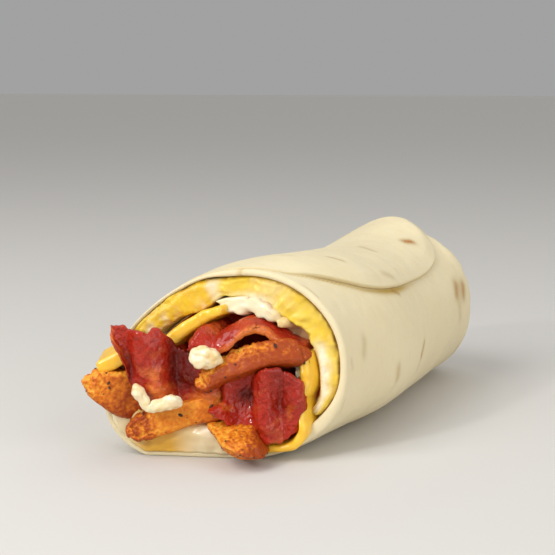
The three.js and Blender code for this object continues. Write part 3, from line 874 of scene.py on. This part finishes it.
def right_recess_shade(run, across):
    # Painted shade in the hollows of the right strip.
    hollow = swell(run, 1.4, 0.8) * swell(across, 0.6, 0.22)
    return 0.9 * hollow + 0.45 * swell(run, 3.9, 0.6) * smoothstep(across, 0.15, 0.6)


standing_strip("bacon_strip_right", "bacon_right", [
    (1.5, -83.4, 19.5, 8),
    (5, -79, 18.9, 16),
    (9, -77, 18.6, 19),
    (14.3, -80.5, 17.6, 22),
    (18.5, -76, 17.3, 22),
    (22.8, -75, 18, 19),
    (20, -62.5, 18.5, 15),
    (13, 42, 18, 16),
    (13, 45, 18, 16),
], right_shape, right_fat, right_recess_shade)

# %% [markdown]
# The top strip lies flat along the roll with two humps and a crease between them. Its front end curls down
# over the potato stick.

# %% The top strip
def top_strip():
    curl_radius, strip_length = 6, 105
    bm = block((120, 90, 5))
    fat, deep = layers(bm, "fat", "deep")
    for vert in bm.verts:
        share, across, out = rounded(nearer_front(vert.co.x, 1.9), vert.co, strip_length, 40, BACON / 2, 1.0)
        x = lerp(lerp(-15, -11, smoothstep(share, 0.1, 0.4)), lerp(22, 20, share), across)
        humps = 5 * swell(x, 6.5, 6) + 2.6 * swell(x, -5.4, 3.2) - 1.5 * swell(x, -1.6, 1.3)
        sides = 6.5 * smoothstep(-x, 6, 14) + 3.2 * smoothstep(x, 11, 22)
        level = 39.3 + (humps - sides) * (1 - 0.5 * smoothstep(share, 0.2, 0.8))
        curl = lerp(10.5, 2.5, smoothstep(x, 3, 13)) * lerp(0.3, 1, smoothstep(x, -10, -5.5))
        curl += 0.8 * bumps((x, 0, 0), 6, 1.9)
        length = strip_length * share
        fold = max(0, curl - length) / curl_radius
        point = mouth(x, level - 1.5 - curl_radius * (1 - math.cos(fold)), 2 + curl_radius * math.sin(fold))
        point.y += max(0, length - curl) + 3.2 * smoothstep(-x, 7.5, 11.5)
        point += Vector((0, -math.sin(fold), math.cos(fold))) * out
        streak = bumps((0.35 * length, 26 * across, 0), 5, 6.3)
        low_band = fade(length, 0.5, 3.4) * smoothstep(x, -1, 3)
        vert[fat] = clamp(0.95 * low_band + 0.7 * streak - 0.08)
        # Painted shade: darker where the strip runs back into the roll.
        vert[deep] = 0.5 * smoothstep(length - curl, 6, 18)
        vert.co = point
    close_up(bm)
    displace(bm, (0.34, 3.0, 4.0), (0.2, 1.2, 5.0, 3))
    return finish_piece(bm, "bacon_strip_top", BACON_FINISH, "bacon", "bacon_top")


top_strip()

# %% [markdown]
# ## Potatoes
# Each piece is a rounded, bent bar with a battered crust. The crust is real relief: lumps of 2 to 3 mm and
# crumbs under 1 mm, and where it stands up it is golden. The hollows between the crumbs get a painted shade.

# %% The potato pieces
def potato(name, node, tip, end, wide, thick, squareness, seed, crust, gold_and_shade_at,
           bend=0, taper=0, spin=0, shear=0):
    start, finish = Vector(tip), Vector(end)
    axis = finish - start
    level = Vector((axis.y, -axis.x, 0)).normalized()
    upright = level.cross(axis).normalized()
    bm = block((84, 34, 34))
    crumb_gold_and_shade, = layers(bm, "crumb_gold_and_shade")
    shares = {}
    for vert in bm.verts:
        x, y, z = vert.co
        square = max(abs(y), abs(z))
        rounding = square / ((abs(y) ** squareness + abs(z) ** squareness) ** (1 / squareness) or 1)
        narrow = 1 - taper * smoothstep(-x, -0.2, 1) - 0.28 * abs(x) ** 6
        dome = x * (1 - 0.16 * square ** 2 * abs(x) ** 5)
        lumps = 1 + 0.06 * math.sin(4 * x + seed) * math.sin(3 * y + 2 * seed)
        lumps += 0.04 * math.sin(7 * x + 3 * z)
        point = start + axis * (1 + dome) / 2
        y_out = y * rounding * narrow * lumps * wide / 2 - shear * z
        z_out = z * rounding * narrow * lumps * thick / 2
        point += level * (y_out * math.cos(spin) - z_out * math.sin(spin))
        point += upright * (y_out * math.sin(spin) + z_out * math.cos(spin))
        point.z += bend * (1 - x * x)
        shares[vert] = (x, y, z)
        vert.co = point
    bm.normal_update()
    moved = []
    for vert in bm.verts:
        roughness = crust(*shares[vert])
        lump = bumps(vert.co, 2.6, seed, 2)
        crumb = bumps(vert.co, 0.95, seed + 3, 3)
        moved.append((vert, vert.normal * roughness * (0.34 * lump + 0.42 * max(-0.3, crumb))))
        # Golden on the raised crumbs; darker in the hollows between them, which is painted shade.
        vert[crumb_gold_and_shade] = clamp(gold_and_shade_at(*shares[vert]) + (0.2 + 0.35 * roughness) * (crumb + 0.6 * lump))
    for vert, shift in moved:
        vert.co += shift
    close_up(bm)
    return finish_piece(bm, name, POTATO_FINISH, "potato", node)


# The terms that fall towards the underside (-z) of the wedge and the top stick darken them: painted shade.
potatoes = [
    potato("potato_wedge_left", "potato_left", (-38.8, -100.8, 24.6), (-19, -79, 13.2),
           11, 15.5, squareness=5, seed=1, taper=0.42,
           crust=lambda x, y, z: 0.45 + 0.7 * smoothstep(-x, 0.4, 0.9) + 0.7 * smoothstep(z, 0.6, 1),
           gold_and_shade_at=lambda x, y, z: 0.45 + 0.3 * smoothstep(-x, 0.6, 1) + 0.3 * smoothstep(z, 0.6, 1)
           - 0.35 * smoothstep(x, -0.6, 0.2) - 0.15 * smoothstep(-z, 0.5, 1)),
    potato("potato_stick_top", "potato_top", (-6.2, -86.6, 23), (24, -67.5, 33),
           8.3, 8.4, squareness=6, seed=2, bend=3.2, taper=0.1, spin=0.5,
           crust=lambda x, y, z: 0.4 + 1.7 * smoothstep(z, -0.1, 0.6) * smoothstep(-x, -0.6, 0)
           + 0.9 * smoothstep(-x, 0.4, 1),
           gold_and_shade_at=lambda x, y, z: -0.05 + 0.6 * smoothstep(z, -0.2, 0.5) * smoothstep(-x, -0.5, 0.1)
           + 0.35 * smoothstep(-x, 0.3, 1) * smoothstep(z, -0.6, 0.2) - 0.2 * smoothstep(-z, 0.5, 1)),
    potato("potato_stick_front", "potato_front", (-27, -94.5, 7.8), (0.5, -78.5, 16.3),
           8.2, 8.4, squareness=6, seed=3, bend=1, spin=0.12,
           crust=lambda x, y, z: 0.15 + 1.6 * smoothstep(-x, 0.3, 0.6),
           gold_and_shade_at=lambda x, y, z: 0.62 - 0.42 * smoothstep(-x, 0.35, 0.6)
           - 0.25 * smoothstep(x, 0.1, 0.8)),
    potato("potato_chunk_bottom", "potato_bottom", (15, -94.5, 6.0), (-5, -64, 9),
           16.5, 9.2, squareness=4.5, seed=4, taper=0.3, shear=2.4,
           crust=lambda x, y, z: 0.4 + 0.8 * smoothstep(z, 0.2, 0.9),
           gold_and_shade_at=lambda x, y, z: 0.16 + 0.36 * smoothstep(z, 0.1, 0.9) - 0.28 * y),
]

# %% [markdown]
# ## Sauce
# Two blobs lie on the fillings, and the rest of the sauce fills the roll between the pieces. Its front
# bulges out into white lumps, and sinks into the gaps between the strips, which get a painted shade.

# %% Sauce blobs
def sauce_lump():
    bm = bmesh.new()
    bmesh.ops.create_icosphere(bm, subdivisions=5, radius=1)
    yellow, _ = layers(bm, "yellow", "gap_shade")
    for vert in bm.verts:
        x, y, z = vert.co
        vert.co = Vector((5.2 * x, 3.4 * y, 3.5 * z * (1 - 0.12 * x)))
    for degrees, axis in ((14, "Y"), (21, "Z")):
        turned = Matrix.Rotation(math.radians(degrees), 3, axis)
        bmesh.ops.rotate(bm, cent=(0, 0, 0), matrix=turned, verts=bm.verts)
    bmesh.ops.translate(bm, vec=(-2.6, -87.2, 32.6), verts=bm.verts)
    displace(bm, (0.9, 4.0, 1.0), (0.16, 1.6, 2.0))
    for vert in bm.verts:
        vert[yellow] = max(0, 0.25 + 0.5 * bumps(vert.co, 3.2, 4.0))
    return finish_piece(bm, "sauce_blob_upper", SAUCE_FINISH, "sauce", "sauce_lump")


def sauce_drip():
    stops = [
        (-21.0, -98.6, 24.6, 1.3), (-19.9, -98.4, 22.6, 2.0), (-18.4, -98.2, 20.2, 1.8),
        (-16.8, -97.6, 17.6, 1.4), (-14.8, -96.2, 17.8, 1.9), (-12.4, -94.4, 18.9, 2.2),
        (-9.8, -92.6, 19.2, 2.1), (-7.9, -91.2, 18.4, 1.3)]
    last = len(stops) - 1
    bm = block((70, 10, 10))
    yellow, _ = layers(bm, "yellow", "gap_shade")
    for vert in bm.verts:
        x, y, z = vert.co
        end = abs(x) > 0.999
        here = smooth_path(stops, (x + 1) / 2 * last)
        ring = Vector((y, z))
        size = max(abs(y), abs(z))
        if ring.length > 0:
            ring = ring.normalized() * (size if end else 1)
        closing = math.sqrt(max(0, 1 - abs(x) ** 9)) if not end else 0
        ahead = smooth_path(stops, min(last, (x + 1.02) / 2 * last))
        ahead = (ahead - smooth_path(stops, max(0, (x + 0.98) / 2 * last))).xyz.normalized()
        across = ahead.cross(Vector((0, 1, 0))).normalized()
        outward = across.cross(ahead).normalized()
        vert.co = here.xyz + (across * ring.x + outward * ring.y * 0.95) * here.w * closing
    close_up(bm)
    displace(bm, (0.6, 3.0, 3.0), (0.14, 1.4, 2.0))
    for vert in bm.verts:
        vert[yellow] = max(0, 0.2 + 0.5 * bumps(vert.co, 3.2, 4.0))
    return finish_piece(bm, "sauce_blob_lower", SAUCE_FINISH, "sauce", "sauce_drip")


sauce_lump()
sauce_drip()

# %% The sauce between the pieces
# Lumps of the front: x, z, size and how far they stand out of the sunken sauce.
FRONT_LUMPS = [(-3.2, 49.8, 2.6, 7), (-0.5, 47.4, 3.4, 9), (3.0, 46.8, 3.3, 9.5),
               (6.3, 47.2, 2.8, 8.5), (9.0, 45.6, 2.8, 9.5), (11.9, 44.0, 2.3, 9), (15.0, 42.0, 1.9, 8),
               (21.4, 29.5, 2.6, 12), (21.6, 26.5, 2.2, 12), (20.5, 31.8, 1.8, 9)]


def sauce_filling():
    front_rows, wall_rows, end_rows = 44, 10, 8
    rows = front_rows + wall_rows + end_rows
    around = 180
    bm = bmesh.new()
    bmesh.ops.create_grid(bm, x_segments=around, y_segments=rows, size=1)
    yellow, gap_shade = layers(bm, "yellow", "gap_shade")
    for vert in bm.verts:
        turn = 180 * (vert.co.x + 1) - 90
        row = round((vert.co.y + 1) / 2 * rows)
        by_egg = smoothstep(turn, -36, -28) * fade(turn, 158, 166)
        depth = lerp(TORTILLA - 0.1, EGG_DEPTH + EGG - 1.7, by_egg)
        if row <= front_rows and by_egg == 0:
            depth = 1.1
        wall = max(0, row - front_rows) / wall_rows
        end = math.sin(math.pi / 2 * max(0, (row - front_rows - wall_rows) / end_rows))
        along = lerp(0.03, SHOULDER, wall) if wall < 1 else lerp(SHOULDER, 0.97, end)
        edge = roll(turn, along, depth + 0.3 * wall)
        if row >= front_rows:
            vert[gap_shade] = 0
            vert.co = edge if row < rows else roll(0, 1, 30)
            continue
        out = row / front_rows
        flat = mouth(0, 28, -4).lerp(edge, out)
        rise = 6 * smoothstep(-flat.x, 18, 26)
        low = fade(flat.z, 10 + rise, 16 + rise) * fade(flat.x, 3, 10)
        sunk = lerp(lerp(6.5, -3, swell(flat.x, 9, 8) * swell(flat.z, 34, 6)), 0.6, low) * (1 - out ** 3)
        lump = max(height * smoothstep(1.5 - math.hypot(flat.x - x, flat.z - z) / size, 0, 1)
                   for x, z, size, height in FRONT_LUMPS)
        back = max(-5, sunk - lump) - 6.4 * low - 2.2 * low * swell(out, 0.75, 0.14)
        flat.y += back + (0.5 + 0.5 * low) * bumps((flat.x, 0, flat.z), 5, 2.0)
        flat.y += 0.8 * bumps((flat.x, 3, flat.z), 3.4, 6.0) * smoothstep(lump, 1, 5)
        beside_egg = smoothstep(flat.x, 10, 15) * smoothstep(flat.z, 33, 38)
        # Painted shade: red-brown wherever the sauce sits back between the pieces, away from the lumps, the
        # low pool and the egg.
        vert[gap_shade] = (1 - low) * (1 - 0.8 * beside_egg) * fade(lump, 2.5, 6)
        vert[yellow] = low * (1.1 * swell(flat.x, -18, 8) + 0.1) + 0.5 * beside_egg
        vert.co = flat
    close_up(bm)
    return finish_piece(bm, "sauce_filling", SAUCE_FINISH, "sauce", "sauce")


sauce_filling()

# %% [markdown]
# ## Pepper
# Cracked pepper sits on the batter: flat dark flakes from about 0.4 to 2.4 mm long. A flake is a tiny
# ball, pressed flat onto the nearest point of a potato piece.

# %% Pepper flakes
def pepper_finish():
    material, tree, place = new_finish("pepper_cracked", {"Roughness": 0.55})
    grain = add_node(tree, "TexNoise", {"Vector": place, "Scale": 900.0})
    base = add_node(tree, "Mix", {FACTOR: grain.outputs["Fac"], UNDER: colour("#20100a"),
                                  OVER: colour("#5a2f18")}, data_type="RGBA")
    return dress(material, base.outputs[MIXED])


# The largest flakes: their places and about half their length, in millimetres.
SEEN_FLAKES = [
    (-27.3, -102.9, 24.3, 0.8), (-26, -102.6, 22.8, 0.6), (-20.8, -99, 19.2, 0.9), (-7.6, -94.5, 14.4, 1.0),
    (0.2, -89.1, 16.9, 0.9), (15.8, -76.4, 36.6, 1.0), (10.5, -88.3, 7.7, 0.8), (12.7, -87.4, 7.8, 0.7),
    (12.3, -87.8, 5.9, 0.9), (1.5, -88.4, 18.2, 0.6)]
FLAKES_PER_POTATO = 26


def pepper_flakes():
    random.seed(5)
    bm = bmesh.new()
    trees = [BVHTree.FromPolygons([vert.co / MM for vert in piece.data.vertices],
                                  [face.vertices for face in piece.data.polygons]) for piece in potatoes]
    flakes = [(Vector(flake[:3]), flake[3]) for flake in SEEN_FLAKES]
    for piece in potatoes:
        for _ in range(FLAKES_PER_POTATO):
            vertex = random.choice(piece.data.vertices)
            flakes.append((vertex.co / MM, random.uniform(0.25, 0.55)))
    for point, size in flakes:
        hits = [tree.find_nearest(point) for tree in trees]
        place, normal, _, _ = min(hits, key=lambda hit: hit[3])
        facing = normal.to_track_quat("Z", "Y").to_matrix().to_4x4()
        turned = facing @ Matrix.Rotation(random.uniform(0, 6), 4, "Z")
        long, wide = size * random.uniform(0.7, 1.2), size * random.uniform(0.45, 0.8)
        stretch = Matrix.Diagonal((long, wide, 0.22, 1))
        bmesh.ops.create_icosphere(bm, subdivisions=1, radius=1,
                                   matrix=Matrix.Translation(place + 0.05 * normal) @ turned @ stretch)
    return finish_piece(bm, "pepper_flakes", pepper_finish(), "potato")


pepper_flakes()

# %% [markdown]
# ## Floor, light and camera
# A plain pale floor. One large soft light stands above and to the left of the mouth, a weaker one to the
# right, and a small one makes the wet pieces sparkle. An even light falls from above. The camera has a
# long lens and looks slightly down.

# %% Floor, light and camera
def stage():
    bm = bmesh.new()
    bmesh.ops.create_grid(bm, x_segments=1, y_segments=1, size=12)
    mesh = bpy.data.meshes.new("floor")
    bm.to_mesh(mesh)
    bm.free()
    paper = {"Roughness": 0.8, "Base Color": colour("#cfccc7"), "Specular IOR Level": 0.2}
    mesh.materials.append(new_finish("floor_paper", paper)[0])
    floor = into_scene("floor", mesh)


def aim(name, data, direction, place=(0, 0, 0)):
    """Puts a light or the camera at a place, facing a direction."""
    thing = into_scene(name, data)
    thing.location = place
    thing.rotation_euler = direction.to_track_quat("-Z", "Y").to_euler()
    return thing


def soft_light(name, place, target, size, power):
    light = bpy.data.lights.new(name, "AREA")
    light.size = size
    light.energy = power
    aim(name, light, Vector(target) - Vector(place), place)


def even_light(name, direction, strength):
    light = bpy.data.lights.new(name, "SUN")
    light.energy = strength
    light.angle = math.radians(60)
    aim(name, light, Vector(direction))


def camera():
    data = bpy.data.cameras.new("camera")
    data.sensor_width = 36
    data.lens = 36 * 1300 / 555
    data.clip_start = 0.01
    place = Vector((197.2, -421.4, 115.1)) * MM
    bpy.context.scene.camera = aim("camera", data, Vector((-0.4584, 0.8765, -0.147)), place)


stage()
soft_light("key", (-0.35, -0.75, 0.85), (0, -0.02, 0.03), 0.7, 8.0)
soft_light("fill", (0.9, -0.35, 0.45), (0, 0, 0.03), 0.9, 4.9)
soft_light("sparkle", (-0.22, -0.8, 0.42), (-0.01, -0.08, 0.03), 0.06, 1.9)
even_light("above", (-0.1, -0.33, -0.95), 0.62)
world = bpy.data.worlds.new("studio")
bpy.context.scene.world = world
bpy.context.scene.view_settings.view_transform = "Standard"
world.use_nodes = True
background = world.node_tree.nodes["Background"]
background.inputs["Color"].default_value = (1, 1, 1, 1)
background.inputs["Strength"].default_value = 0.36
camera()
